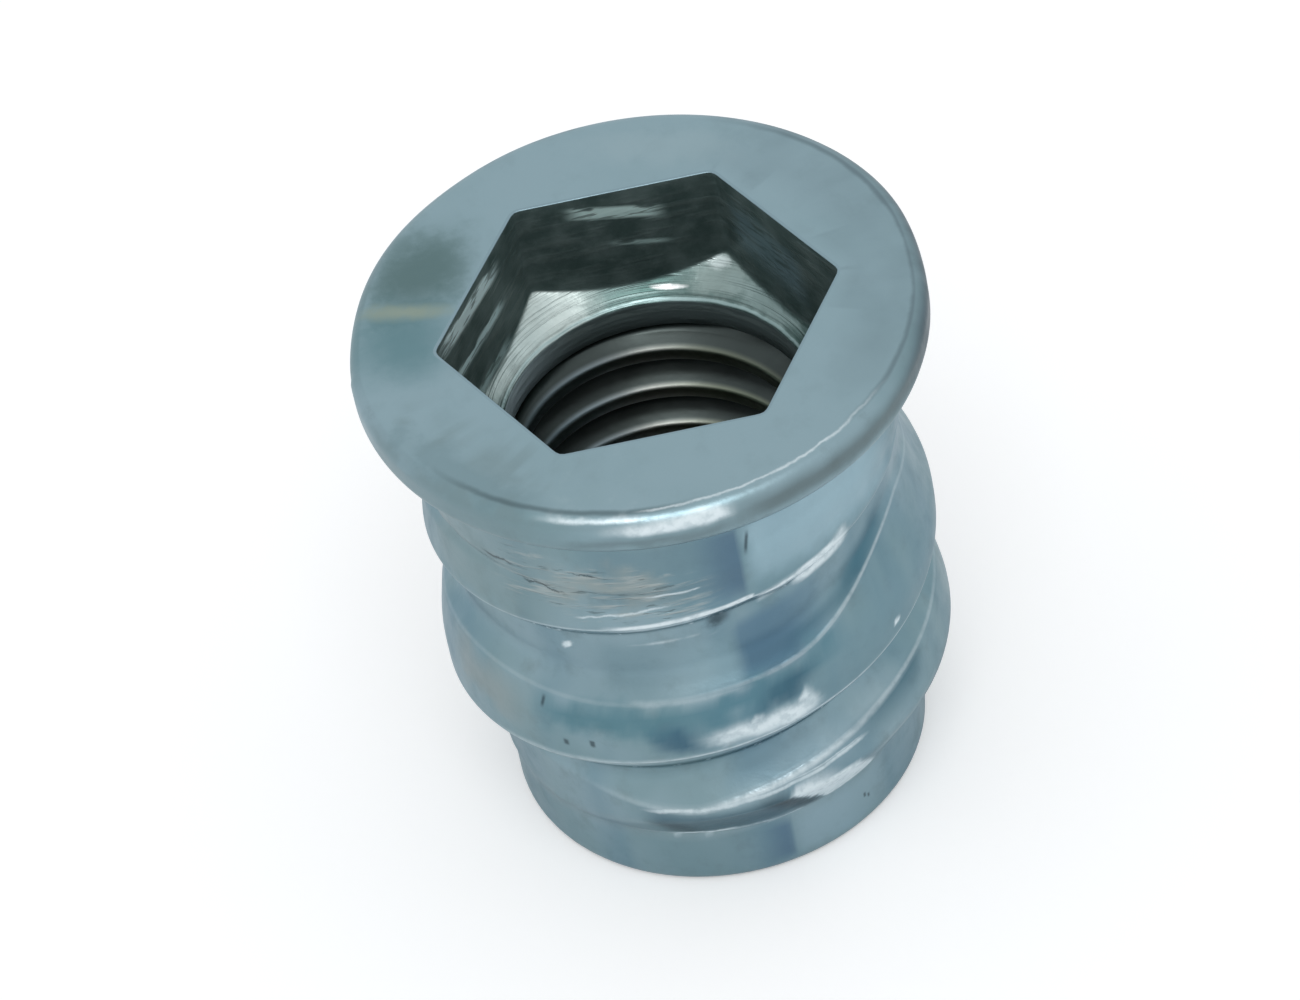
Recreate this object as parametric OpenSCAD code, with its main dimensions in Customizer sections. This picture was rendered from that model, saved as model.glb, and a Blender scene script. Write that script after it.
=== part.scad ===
// Flanged screw-in threaded insert for timber, cast in one piece.
// A coarse outer thread bites into the wood, a hex socket in the flange drives it,
// and a machine-thread bore takes the bolt.
// The origin is the centre of the lower end face, and the flange is on top.

/* [Flange] */
// Diameter of the flange
flange_d = 13.4; // [12.6:0.1:16]
// Height of the flange's rim, flange top to the rim's lower edge
rim_h = 1.1; // [0.9:0.05:2]
// Rounding of the rim's upper edge
rim_top_round = 0.4; // [0.1:0.05:0.45]
// Rounding of the rim's lower edge
rim_low_round = 0.4; // [0.1:0.05:0.45]
// Drop of the sloping underside from the rim to the collar
underside_drop = 0.4; // [0.1:0.05:0.8]

/* [Body] */
// Overall length, lower end face to flange top
total_h = 14.1; // [13:0.1:20]
// Diameter of the plain collar under the flange
collar_d = 11.25; // [11:0.05:11.6]
// Length of the collar, flange top to its lower edge
collar_h = 3.3; // [2.6:0.1:4]
// Diameter of the body between the thread's turns, under the collar
root_top_d = 10.9; // [10.5:0.05:11]
// Diameter of the body between the thread's turns, at the shoulder
root_low_d = 10; // [9.9:0.05:10.5]
// Diameter of the plain pilot at the lower end
pilot_d = 9.85; // [9.3:0.05:10]
// Length of the pilot, end face to shoulder
pilot_h = 1.8; // [0.8:0.1:2.4]
// Chamfer at the pilot's end
pilot_chamfer = 0.2; // [0.05:0.05:0.5]

/* [Outer thread] */
// Diameter over the thread's crest
thread_d = 11.9; // [11.5:0.05:14]
// Pitch of the thread
pitch = 4.1; // [3.4:0.05:5]
// Width of the crest where its first full turn passes the front
crest_w = 1.7; // [1.5:0.05:2.3]
// Narrowing of the crest in each turn towards the flange
crest_taper = 0.85; // [0:0.05:0.9]
// Bevel at the crest's lower edge
crest_bevel = 0.12; // [0.05:0.01:0.2]
// Height of the crest's upper part, which slopes in
crest_slope_h = 0.9; // [0.5:0.05:1]
// Depth by which the crest has sloped in at its upper edge
crest_slope_in = 0.22; // [0.05:0.01:0.3]
// Height of the upper flank for each millimetre of depth
upper_flank_rise = 1.0; // [0.1:0.05:1]
// Height of the lower flank for each millimetre of depth
lower_flank_rise = 1.2; // [0.5:0.1:1.2]
// Rise of the run-in shoulder for each millimetre of radius
shoulder_rise = 1.6; // [0.8:0.1:2]
// Turns below the front of the first full turn at which the ridge starts
start_turns = 1.2; // [1.1:0.05:1.5]
// Part of a turn over which the ridge rises to its full height
lead_in_turns = 0.25; // [0.1:0.05:0.4]
// Height of the crest's middle where the first full turn passes the front
front_crest_z = 6.4; // [5.5:0.1:6.7]
// Depth below the flange top at which the run-out begins
runout_depth = 6.4; // [5:0.1:7]
// Height over which the run-out comes down to the collar
runout_h = 2.8; // [0.5:0.1:3.5]

/* [Hex socket] */
// Width of the hex socket across its flats
hex_af = 8.1; // [7.6:0.05:8.6]
// Relief that rounds the socket's corners, cut back from their tips
hex_corner_relief = 0.1; // [0.05:0.01:0.25]
// Depth of the socket's walls at the middle of a flat
hex_depth = 3.0; // [2:0.1:5]
// Included angle of the cone below the socket
cone_angle = 112; // [90:1:130]

/* [Bore] */
// Diameter of the bore, at the machine thread's crests
bore_d = 6.65; // [5:0.05:6.9]
// Diameter of the plain mouth above the machine thread
mouth_d = 7.2; // [7:0.05:7.5]
// Height of the mouth, from the socket's cone down to the first thread
mouth_h = 0.7; // [0.3:0.1:3]
// Countersink at the bore's lower end
bore_chamfer = 0.6; // [0.2:0.05:0.8]

/* [Hidden] */
flange_r = flange_d / 2;
collar_r = collar_d / 2;
root_top_r = root_top_d / 2;
root_low_r = root_low_d / 2;
pilot_r = pilot_d / 2;
thread_r = thread_d / 2;
bore_r = bore_d / 2;
mouth_r = mouth_d / 2;
// Heights of the flange's lower rim edge, the underside's foot and the collar's lower edge
rim_z = total_h - rim_h;
underside_z = rim_z - underside_drop;
collar_z = total_h - collar_h;
// Height of the crest at which the run-out begins
runout_z = total_h - runout_depth;
steps_per_turn = 60;
// How far the ridge's foot reaches into the body
foot_bury = 0.1;
// Width that a groove's floor keeps where its flanks have run together
least_floor = 0.05;
// Width that the crest keeps where its taper would close it
least_crest = 0.3;
// How far the thread's limit stands outside the crest
crest_clear = 0.05;
// How far a cut passes the face that it opens
cut_past = 1;
$fn = 96;

// Height of the run-in shoulder at a radius
function shoulder_z(r) = pilot_h + (r - pilot_r) * shoulder_rise;

// Depth of the ridge from its crest to its buried foot
ridge_depth = thread_r - root_low_r + foot_bury;
foot_r = root_low_r - foot_bury;
// Turn at which the whole ridge has sunk into the collar
last_turn = (collar_z + crest_w / 2 + lower_flank_rise * ridge_depth - front_crest_z) / pitch;
// The sections stand half a step clear of the front, so that none lies on a turned face's seam
first_turn = (ceil(-start_turns * steps_per_turn) + 0.5) / steps_per_turn;
steps = ceil((last_turn - first_turn) * steps_per_turn);

// A corner of a turned outline: a square corner cut back and filled by a true round
module round_corner(r, z, size, up) {
    translate([r - size, z - up * size]) circle(size);
}

// Outline of the round body: pilot, shoulder, root, collar and flange
module body_outline() {
    polygon([
        [0, 0],
        [pilot_r - pilot_chamfer, 0],
        [pilot_r, pilot_chamfer],
        [pilot_r, pilot_h],
        [root_low_r, shoulder_z(root_low_r)],
        [root_top_r, collar_z - (collar_r - root_top_r)],
        [collar_r, collar_z],
        [collar_r, underside_z],
        [flange_r - rim_low_round, rim_z],
        [flange_r, rim_z + rim_low_round],
        [flange_r, total_h - rim_top_round],
        [flange_r - rim_top_round, total_h],
        [0, total_h]
    ]);
    round_corner(flange_r, total_h, rim_top_round, 1);
    round_corner(flange_r, rim_z, rim_low_round, -1);
}

// Outline that the thread keeps inside: the run-in shoulder, the full crest and the run-out
module thread_limit() {
    inner_r = root_low_r - cut_past;
    outer_r = thread_r + crest_clear;
    polygon([
        [inner_r, pilot_h],
        [pilot_r, pilot_h],
        [outer_r, shoulder_z(outer_r)],
        [outer_r, runout_z - crest_clear * runout_h / (thread_r - collar_r)],
        [collar_r, runout_z + runout_h],
        [collar_r, underside_z],
        [inner_r, underside_z]
    ]);
}

// Half the width of the crest, a number of turns from the front
function half_crest(turn) = max(least_crest, crest_w - crest_taper * turn) / 2;

// Depth at which the flanks of a turn and the next one above end: at the buried foot, or
// where they have run together in a narrow groove
function flank_end(turn) = min(
    ridge_depth,
    (pitch - half_crest(turn) - half_crest(turn + 1) + upper_flank_rise * crest_slope_in
        - least_floor) / (upper_flank_rise + lower_flank_rise)
);

// One section of the thread's ridge, a number of turns from the front, as points in space
function ridge_section(turn) =
    let (
        angle = 360 * turn - 90,
        middle = front_crest_z + pitch * turn,
        half_w = half_crest(turn),
        low_end = flank_end(turn - 1),
        high_end = flank_end(turn),
        slope_foot = max(half_w - crest_slope_h, 2 * crest_bevel - half_w),
        risen = min(1, foot_bury / ridge_depth + (turn - first_turn) / lead_in_turns),
        outline = [
            [low_end, -half_w - lower_flank_rise * low_end],
            [crest_bevel, -half_w - lower_flank_rise * crest_bevel],
            [0, -half_w + crest_bevel],
            [0, slope_foot],
            [crest_slope_in, half_w],
            [high_end, half_w + upper_flank_rise * (high_end - crest_slope_in)]
        ]
    )
    [for (p = outline)
        let (r = foot_r + (ridge_depth - p[0]) * risen)
        [r * cos(angle), r * sin(angle), middle + p[1]]];

// Right-hand ridge on a core, swept section by section. The groove's floor joins each section
// to the one a turn above it, and a fan to the axis closes each end.
module ridge() {
    corners = len(ridge_section(0));
    sections = [for (i = [0:steps]) ridge_section(first_turn + i / steps_per_turn)];
    low_centre = corners * (steps + 1);
    high_centre = low_centre + 1;
    points = concat(
        [for (section = sections) each section],
        [[0, 0, sections[0][0].z], [0, 0, sections[steps][corners - 1].z]]
    );
    sides = [for (i = [0:steps - 1], k = [0:corners - 2])
        let (a = corners * i + k)
        each [[a, a + 1, a + corners], [a + 1, a + corners + 1, a + corners]]];
    floors = [for (i = [0:steps - steps_per_turn - 1])
        let (a = corners * i + corners - 1, b = corners * (i + steps_per_turn))
        each [[a, b, a + corners], [b, b + corners, a + corners]]];
    low_fan = [for (i = [0:steps_per_turn - 1])
        [low_centre, corners * i, corners * (i + 1)]];
    high_fan = [for (i = [steps - steps_per_turn:steps - 1])
        [high_centre, corners * (i + 2) - 1, corners * (i + 1) - 1]];
    low_end = [
        low_centre,
        corners * steps_per_turn,
        for (k = [corners - 1:-1:0]) k
    ];
    high_end = [
        high_centre,
        corners * (steps - steps_per_turn + 1) - 1,
        for (k = [0:corners - 1]) corners * steps + k
    ];
    polyhedron(points, concat(sides, floors, low_fan, high_fan, [low_end, high_end]));
}

// Coarse thread, trimmed to its run-in and run-out
module outer_thread() {
    intersection() {
        ridge();
        rotate_extrude() thread_limit();
    }
}

// Radius that the socket's cone gains in each millimetre of height
cone_slope = tan(cone_angle / 2);
// Height of the cone at a radius
function cone_z(r) = total_h - hex_depth - (hex_af / 2 - r) / cone_slope;

// Hex socket, closed below by the cone that its corners run out in
module hex_socket() {
    corner_r = hex_af / 2 / cos(30);
    floor_r = mouth_r - cut_past;
    floor_z = cone_z(floor_r);
    top_z = total_h + cut_past;
    intersection() {
        translate([0, 0, floor_z]) cylinder(h = top_z - floor_z, r = corner_r, $fn = 6);
        translate([0, 0, floor_z])
            cylinder(h = top_z - floor_z, r = corner_r - hex_corner_relief);
        translate([0, 0, floor_z]) cylinder(
            h = top_z - floor_z,
            r1 = floor_r,
            r2 = floor_r + (top_z - floor_z) * cone_slope
        );
    }
}

// Bore with its plain mouth and its countersink at the lower end
module bolt_bore() {
    translate([0, 0, -cut_past]) cylinder(h = total_h, r = bore_r);
    translate([0, 0, cone_z(mouth_r) - mouth_h]) cylinder(h = mouth_h + foot_bury, r = mouth_r);
    translate([0, 0, -cut_past]) cylinder(
        h = bore_chamfer + cut_past,
        r1 = bore_r + bore_chamfer + cut_past,
        r2 = bore_r
    );
}

module insert_body() color("LightSteelBlue") difference() {
    union() {
        rotate_extrude() body_outline();
        outer_thread();
    }
    hex_socket();
    bolt_bore();
}

insert_body();
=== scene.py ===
# Visible model of a flanged screw-in threaded insert for timber, standing on its lower end.
import math

import bmesh
import bpy
from mathutils import Matrix, Vector, noise


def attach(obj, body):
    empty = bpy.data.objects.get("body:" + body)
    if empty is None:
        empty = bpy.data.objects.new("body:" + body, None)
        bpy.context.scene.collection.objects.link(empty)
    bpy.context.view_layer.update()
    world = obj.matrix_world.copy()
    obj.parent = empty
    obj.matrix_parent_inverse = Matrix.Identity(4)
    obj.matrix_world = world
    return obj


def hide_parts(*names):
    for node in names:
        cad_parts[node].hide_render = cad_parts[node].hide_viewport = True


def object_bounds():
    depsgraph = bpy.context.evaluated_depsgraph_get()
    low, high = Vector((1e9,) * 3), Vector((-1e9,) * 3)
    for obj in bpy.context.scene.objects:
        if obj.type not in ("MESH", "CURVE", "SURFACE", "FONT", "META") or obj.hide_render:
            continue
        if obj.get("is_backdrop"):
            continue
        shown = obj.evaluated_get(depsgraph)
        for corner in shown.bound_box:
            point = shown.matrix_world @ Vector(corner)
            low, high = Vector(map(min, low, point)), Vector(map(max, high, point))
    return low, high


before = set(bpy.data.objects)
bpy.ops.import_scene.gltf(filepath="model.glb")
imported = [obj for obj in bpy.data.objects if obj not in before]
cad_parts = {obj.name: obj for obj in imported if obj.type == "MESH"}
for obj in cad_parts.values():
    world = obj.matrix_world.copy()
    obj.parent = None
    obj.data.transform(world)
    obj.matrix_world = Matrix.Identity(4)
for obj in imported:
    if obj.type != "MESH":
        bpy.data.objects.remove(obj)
cad_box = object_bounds()

# ---------------------------------------------------------------------------------------------
# The threaded insert: one zinc-alloy casting, plated with blue-passivated zinc. The flange, the
# hex socket and the coarse right-hand outer thread come from the die, and the bolt thread is
# tapped. Cast edges are soft, and the flange is a little out of round.
# ---------------------------------------------------------------------------------------------
MM = 0.001
COLUMNS = 288               # corners in one turn, so that the hex corners lie on columns
TOTAL_H = 14.1
FRONT = -90                 # degrees, the side on which the turns are counted

# outer thread and the turned body that it stands on, in millimetres
THREAD_R, THREAD_PITCH = 5.95, 4.1
CREST_W, CREST_TAPER = 1.7, 0.85
CREST_SLOPE_H, CREST_SLOPE_IN = 0.9, 0.22
UPPER_RISE, LOWER_RISE = 1.0, 1.2
FRONT_CREST_Z = 6.4
START_TURNS, LEAD_IN_TURNS = 1.2, 0.25
SHOULDER_RISE = 1.6
RUNOUT_Z, RUNOUT_H = 7.7, 2.8
RUNOUT_END_Z, RUNOUT_END_SLOPE = 11.2, 0.6
EDGE_ROUND, SLOPE_ROUND, SHOULDER_ROUND = 0.13, 0.06, 0.12
FILLET, LEAST_FILLET = 0.24, 0.08
PILOT_R, PILOT_H = 4.925, 1.8
ROOT_LOW_R, ROOT_TOP_R = 5.0, 5.45
BURIED_R = ROOT_LOW_R - 0.1
COLLAR_R, COLLAR_Z = 5.625, 10.8
BAND_LOW_Z, BAND_HIGH_Z = 1.4, 12.0     # where the thread's mesh meets the pilot's and the collar's

# where the casting stands above the crest's upper edge: from and to turn, ease, height
RAISED = (
    (0.04, 0.32, 0.16, 1.3), (-1.02, -0.62, 0.17, 0.5), (-0.36, -0.06, 0.13, 0.4),
    (-1.2, -0.99, 0.07, -0.25),
)


def soft_max(a, b, blend):
    """The larger of two values, rounded over where they come near each other."""
    near = max(blend - abs(a - b), 0) / blend
    return max(a, b) + near * near * blend / 4


def soft_min(a, b, blend):
    return -soft_max(-a, -b, blend)


def shoulder_r(z):
    return PILOT_R + (z - PILOT_H) / SHOULDER_RISE


def body_r(z):
    """Radius of the turned body between the turns."""
    root = ROOT_LOW_R + (ROOT_TOP_R - ROOT_LOW_R) * (z - PILOT_H) / (COLLAR_Z - PILOT_H)
    collar = min(COLLAR_R, ROOT_TOP_R + z - (COLLAR_Z - COLLAR_R + ROOT_TOP_R))
    low = soft_max(PILOT_R, soft_min(root, shoulder_r(z), 0.05), 0.04)
    return soft_max(low, collar, 0.1)


def crest_limit(z, turn):
    """Radius that the crest is held to by its run-in, its run-out and its lead-in."""
    run_out = THREAD_R - (z - RUNOUT_Z) * (THREAD_R - COLLAR_R) / RUNOUT_H
    risen = min(1, max(0, (turn + START_TURNS) / LEAD_IN_TURNS))
    lead_in = BURIED_R + (THREAD_R - BURIED_R) * risen * risen * (3 - 2 * risen)
    run_out = min(run_out, COLLAR_R + RUNOUT_END_SLOPE * (RUNOUT_END_Z - z))
    full = soft_min(THREAD_R, run_out, 0.05)
    return min(soft_min(full, shoulder_r(z), SHOULDER_ROUND), lead_in)


def half_crest(turn):
    return (CREST_W - CREST_TAPER * turn) / 2


def swell(turn, start, end, ease):
    """Rises from 0 to 1 after the start, and falls back to 0 before the end."""
    level = min(1, max(0, min(turn - start, end - turn) / ease))
    return level * level * (3 - 2 * level)


def uneven_crest(turn):
    """What the casting adds to the crest below and above, and to the depth of its slope."""
    below = 0.14 * swell(turn, 1.03, 1.2, 0.03)
    above = sum(height * swell(turn, start, end, ease) for start, end, ease, height in RAISED)
    return below, above, 0.28 * swell(turn, 0.06, 0.55, 0.1)


def ridge_r(z, turn):
    """Radius of one turn's ridge at a height, which falls away on both flanks."""
    rise = z - FRONT_CREST_Z - THREAD_PITCH * turn
    half = half_crest(turn)
    low_more, high_more, deeper = uneven_crest(turn)
    slope_h, slope_in = CREST_SLOPE_H + high_more, CREST_SLOPE_IN + deeper
    lower = THREAD_R + (rise + half + low_more) / LOWER_RISE
    slope = THREAD_R - slope_in * (rise - half - high_more + slope_h) / slope_h
    upper = THREAD_R - slope_in - (rise - half - high_more) / UPPER_RISE
    crest = soft_min(crest_limit(z, turn), slope, SLOPE_ROUND)
    return soft_min(soft_min(crest, lower, EDGE_ROUND), upper, EDGE_ROUND)


def outer_r(z, turn):
    """Radius of the thread: a turn's upper flank fades into the body, its lower one meets it."""
    r = body_r(z)
    if z <= BAND_LOW_Z:
        return r
    for t in (turn - 1, turn, turn + 1):
        above = min(1, max(-1, (z - FRONT_CREST_Z - THREAD_PITCH * t) / 0.3))
        r = soft_max(r, ridge_r(z, t), FILLET * (1 + above) / 2 + LEAST_FILLET)
    return r


def turn_edges(turn):
    """Heights of one turn's lower foot and edge, and of its upper edge and foot."""
    low_more, high_more, deeper = uneven_crest(turn)
    low = FRONT_CREST_Z + THREAD_PITCH * turn - half_crest(turn)
    high = low + 2 * half_crest(turn) + high_more
    high_drop = max(CREST_SLOPE_IN + deeper, THREAD_R - crest_limit(high, turn))
    low_drop = max(0, THREAD_R - crest_limit(low, turn))
    low_foot = low - low_more - LOWER_RISE * (THREAD_R - body_r(low - 0.7))
    low_edge = low - low_more - LOWER_RISE * low_drop
    high_edge = high + UPPER_RISE * (high_drop - CREST_SLOPE_IN - deeper)
    high_foot = high + UPPER_RISE * (THREAD_R - CREST_SLOPE_IN - deeper - body_r(high + 0.2))
    return low_foot, low_edge, high_edge, high_foot


def outer_rows(turn):
    """Heights of the mesh rows across one turn, from mid-groove to mid-groove, close at edges."""
    middle = FRONT_CREST_Z + THREAD_PITCH * turn
    half = half_crest(turn)
    low_seam = middle - (THREAD_PITCH - half_crest(turn - 1) + half) / 2
    high_seam = middle + (THREAD_PITCH - half_crest(turn + 1) + half) / 2
    low_foot, low_edge, high_edge, high_foot = turn_edges(turn)
    rows = [low_seam, high_seam]
    for start, end, count in (
        (low_seam, low_foot - 0.12, 4), (low_foot + 0.12, low_edge - 0.1, 3),
        (low_edge + 0.3, middle + half - CREST_SLOPE_H - 0.1, 2), (high_foot + 0.3, high_seam, 4),
    ):
        rows += [start + (end - start) * (i + 1) / (count + 1) for i in range(count)]
    rows += [low_foot + step for step in (-0.12, -0.06, -0.02, 0.02, 0.06, 0.12)]
    rows += [low_edge + step for step in (-0.1, -0.05, -0.02, 0.01, 0.05, 0.1, 0.18, 0.3)]
    rows += [middle + half - CREST_SLOPE_H + step for step in (-0.1, 0.1, 0.3, 0.5)]
    rows += [high_edge + step for step in (-0.14, -0.06, -0.02, 0.02, 0.07, 0.14)]
    rows += [high_foot + step for step in (-0.2, -0.1, 0, 0.1, 0.2, 0.3)]
    face_low, face_high = low_edge + 0.3, middle + half - CREST_SLOPE_H - 0.1
    rows += [min(max(PILOT_H + step, face_low), face_high)
             for step in (-0.06, 0, 0.06, 0.2, 0.45, 0.8)]
    return [min(max(row, low_seam), high_seam) for row in sorted(rows)]


def near(z, place, reach):
    """1 at a place, and nearly 0 from two reaches away."""
    return math.exp(-((z - place) / reach) ** 2)


def edge_wear_and_shade(z, turn):
    """Wear and painted highlights at the thread's edges, and painted shade in the corner below each
    turn, from 0 to 1.
    """
    low_foot, low_edge, high_edge, high_foot = turn_edges(turn)
    low_step = crest_limit((low_edge + high_edge) / 2, turn) - body_r(low_foot)
    low_step = min(1, max(0, low_step / 0.25))
    high_step = low_step * min(1, max(0, (COLLAR_Z - 0.6 - high_edge) / 0.5))
    bearing = (FRONT + 360 * turn + 180) % 360 - 180
    wear_and_glint = near(z, low_edge + 0.02, 0.04) * (0.4 + 0.5 * near(bearing, -80, 45)) * low_step
    wear_and_glint = max(wear_and_glint, near(z, high_edge, 0.04) * (0.15 + 0.35 * near(bearing, -50, 30)) * high_step)
    if turn < -0.75:        # the lowest turn has wear and painted highlights on its shoulder and where it meets the pilot
        wear_and_glint = max(wear_and_glint, 0.8 * near(z, high_edge - 0.03, 0.08) * near(bearing, -80, 32))
        wear_and_glint = max(wear_and_glint, 0.7 * near(z, high_edge + 0.2, 0.04) * near(bearing, -60, 14))
        wear_and_glint = max(wear_and_glint, 0.8 * near(z, PILOT_H, 0.045) * near(bearing, -98, 22))
    return wear_and_glint, near(z, low_foot, 0.06) * low_step


def deselect_all():
    if bpy.context.object and bpy.context.object.mode != "OBJECT":
        bpy.ops.object.mode_set(mode="OBJECT")
    bpy.ops.object.select_all(action="DESELECT")


def wind_band(name, rows_at, radius_at, first_turn, last_turn, low_z, high_z, wear_and_shade_at=None):
    """Winds a flat grid into a helical band, and trims it to level rings at both ends."""
    deselect_all()
    columns = round((last_turn - first_turn) * COLUMNS)
    rows = len(rows_at(first_turn))
    bpy.ops.mesh.primitive_grid_add(x_subdivisions=columns, y_subdivisions=rows - 1, size=2)
    band = bpy.context.object
    band.name = name
    heights = {}
    for label in ("wear_and_glint", "corner_shade"):
        band.data.attributes.new(label, "FLOAT", "POINT")
    marks = [band.data.attributes[label].data for label in ("wear_and_glint", "corner_shade")]
    for corner in band.data.vertices:
        column = round((corner.co.x + 1) / 2 * columns)
        row = round((corner.co.y + 1) / 2 * (rows - 1))
        turn = first_turn + column / COLUMNS
        if column not in heights:
            heights[column] = rows_at(turn)
        z = min(max(heights[column][row], low_z), high_z)
        angle = math.radians(FRONT + 360 * (column % COLUMNS) / COLUMNS + 360 * first_turn)
        r = radius_at(z, turn)
        corner.co = (r * math.cos(angle) * MM, r * math.sin(angle) * MM, z * MM)
        if wear_and_shade_at:
            for mark, value in zip(marks, wear_and_shade_at(z, turn)):
                mark[corner.index].value = value
    return band


thread_band = wind_band(
    "outer_band", outer_rows, outer_r, first_turn=-2.5, last_turn=2.75,
    low_z=BAND_LOW_Z, high_z=BAND_HIGH_Z, wear_and_shade_at=edge_wear_and_shade)


def start_ring(name, r, z):
    """A level ring of corners, from which a turned surface is drawn out."""
    deselect_all()
    bpy.ops.mesh.primitive_circle_add(vertices=COLUMNS, radius=r * MM, location=(0, 0, z * MM))
    ring = bpy.context.object
    ring.name = name
    bpy.ops.object.transform_apply(location=True)
    bpy.ops.object.mode_set(mode="EDIT")
    bpy.ops.mesh.select_all(action="SELECT")
    return ring


def set_ring(place):
    """Sets each corner of the open ring by its angle."""
    edit = bmesh.from_edit_mesh(bpy.context.object.data)
    for corner in edit.verts:
        if corner.select:
            angle = math.atan2(corner.co.y, corner.co.x)
            r, z = place(angle)
            corner.co = (r * math.cos(angle) * MM, r * math.sin(angle) * MM, z * MM)
    bmesh.update_edit_mesh(bpy.context.object.data)


def draw_out(place):
    """Extrudes the open ring, and sets the new one."""
    bpy.ops.mesh.extrude_edges_move()
    set_ring(place)


def turn_profile(profile):
    for r, z in profile:
        draw_out(lambda angle, r=r, z=z: (r, z))


def arc(centre_r, centre_z, size, start, end, steps):
    """Points of a round edge in the turned outline, by angle in degrees from outwards."""
    turns = [math.radians(start + (end - start) * i / steps) for i in range(steps + 1)]
    return [(centre_r + size * math.cos(a), centre_z + size * math.sin(a)) for a in turns]


# pilot and lower end, down from the thread and in to the countersink
COUNTERSINK_R = 3.925
PILOT_ROW, PILOT_ROUND = 0.13, 0.3
pilot = start_ring("pilot_end", body_r(BAND_LOW_Z), BAND_LOW_Z)
turn_profile([(PILOT_R, BAND_LOW_Z - PILOT_ROW * step) for step in range(1, 9)])
turn_profile(arc(PILOT_R - PILOT_ROUND, PILOT_ROUND, PILOT_ROUND, 0, -90, 7))
turn_profile([(4.55, 0), (4.3, 0), (4.1, 0), (COUNTERSINK_R + 0.1, 0)])
turn_profile([(COUNTERSINK_R + 0.04, 0.008), (COUNTERSINK_R, 0.03), (COUNTERSINK_R - 0.05, 0.08)])
LOWEST_THREAD_R, LOWEST_THREAD_Z = COUNTERSINK_R - 0.12, 0.15
turn_profile([(LOWEST_THREAD_R, LOWEST_THREAD_Z)])

# collar and flange, up from the thread and in over the flat top
FLANGE_R, RIM_LOW_Z, RIM_ROUND = 6.7, 13.0, 0.4
# where the rim is flattened a little: bearing, reach, depth
RIM_FLATS = ((2, 16, 0.11), (-22, 14, 0.05), (168, 14, 0.05), (124, 12, 0.035))


def flattened(angle):
    return sum(depth * near(math.degrees(angle), at, reach) for at, reach, depth in RIM_FLATS)


def rim_profile(profile):
    for r, z in profile:
        draw_out(lambda angle, r=r, z=z: (r - flattened(angle), z))


collar = start_ring("collar_flange", body_r(BAND_HIGH_Z), BAND_HIGH_Z)
turn_profile([(COLLAR_R, 12.3), (COLLAR_R, 12.4), (5.632, 12.49), (5.665, 12.565), (5.735, 12.635)])
turn_profile([(5.83, 12.7), (5.95, 12.77), (6.1, 12.86)])
rim_profile(arc(FLANGE_R - RIM_ROUND, RIM_LOW_Z + RIM_ROUND, RIM_ROUND, -65, 0, 8))
rim_profile([(FLANGE_R, 13.48), (FLANGE_R, 13.6)])
rim_profile(arc(FLANGE_R - RIM_ROUND, TOTAL_H - RIM_ROUND, RIM_ROUND, 0, 90, 11))
rim_profile([(6.2, TOTAL_H), (6.0, TOTAL_H)])
turn_profile([(5.7, TOTAL_H), (5.4, TOTAL_H)])

# hex socket: eight-millimetre walls with rounded corners, the drill cone and the bore's mouth
HEX_HALF, HEX_CORNER_R = 4.05, 4.64
HEX_DEPTH, CONE_SLOPE = 3.0, math.tan(math.radians(56))
MOUTH_R, MOUTH_LOW_Z = 3.6, 10.1
SOCKET_EDGE = 0.025         # rounding of the socket's edge
EDGE_START = SOCKET_EDGE + 0.05
CONE_START, MOUTH_EDGE = 0.16, 0.03     # how far the cone's plain part stands off wall and mouth


def hex_r(angle, grow=0):
    across = math.degrees(angle) % 60 - 30
    return soft_min((HEX_HALF + grow) / math.cos(math.radians(across)), HEX_CORNER_R + grow, 0.05)


def cone_z(r):
    return TOTAL_H - HEX_DEPTH - (HEX_HALF - r) / CONE_SLOPE


def cone_r(angle, share):
    """Radius on the cone, a share of the way from the walls to the mouth."""
    return (hex_r(angle) - CONE_START) * (1 - share) + (MOUTH_R + MOUTH_EDGE) * share


def hex_ring(grow, z):
    draw_out(lambda angle: (hex_r(angle, grow), z))


def cone_foot_ring(grow, above):
    draw_out(lambda angle: (hex_r(angle, -grow), cone_z(hex_r(angle)) + above))


# the last rings of the flat top follow the hexagon, and the socket starts on the last of them
hex_ring(0.5, TOTAL_H)
hex_ring(EDGE_START, TOTAL_H)
socket = start_ring("socket", HEX_CORNER_R, TOTAL_H)
set_ring(lambda angle: (hex_r(angle, EDGE_START), TOTAL_H))
for step in range(6):
    lean = math.radians(90 - 18 * step)
    hex_ring(SOCKET_EDGE * (1 - math.cos(lean)), TOTAL_H - SOCKET_EDGE * (1 - math.sin(lean)))
for above in (2.5, 1.9, 1.2, 0.5, 0.2):
    draw_out(lambda angle, above=above: (
        hex_r(angle),
        min(TOTAL_H - EDGE_START, cone_z(hex_r(angle)) + above),
    ))
for grow, above in ((0, 0.1), (0.012, 0.05), (0.045, 0.0), (0.1, -0.055), (CONE_START, -0.1)):
    cone_foot_ring(grow, above)
for share in (0.25, 0.5, 0.75, 0.93):
    draw_out(lambda angle, share=share: (cone_r(angle, share), cone_z(cone_r(angle, share))))
mouth_top = cone_z(MOUTH_R)
turn_profile([(MOUTH_R + MOUTH_EDGE, mouth_top + 0.02), (MOUTH_R + 0.008, mouth_top - 0.01)])
turn_profile([(MOUTH_R, mouth_top - 0.06), (MOUTH_R, MOUTH_LOW_Z + 0.3), (MOUTH_R, MOUTH_LOW_Z)])

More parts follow.
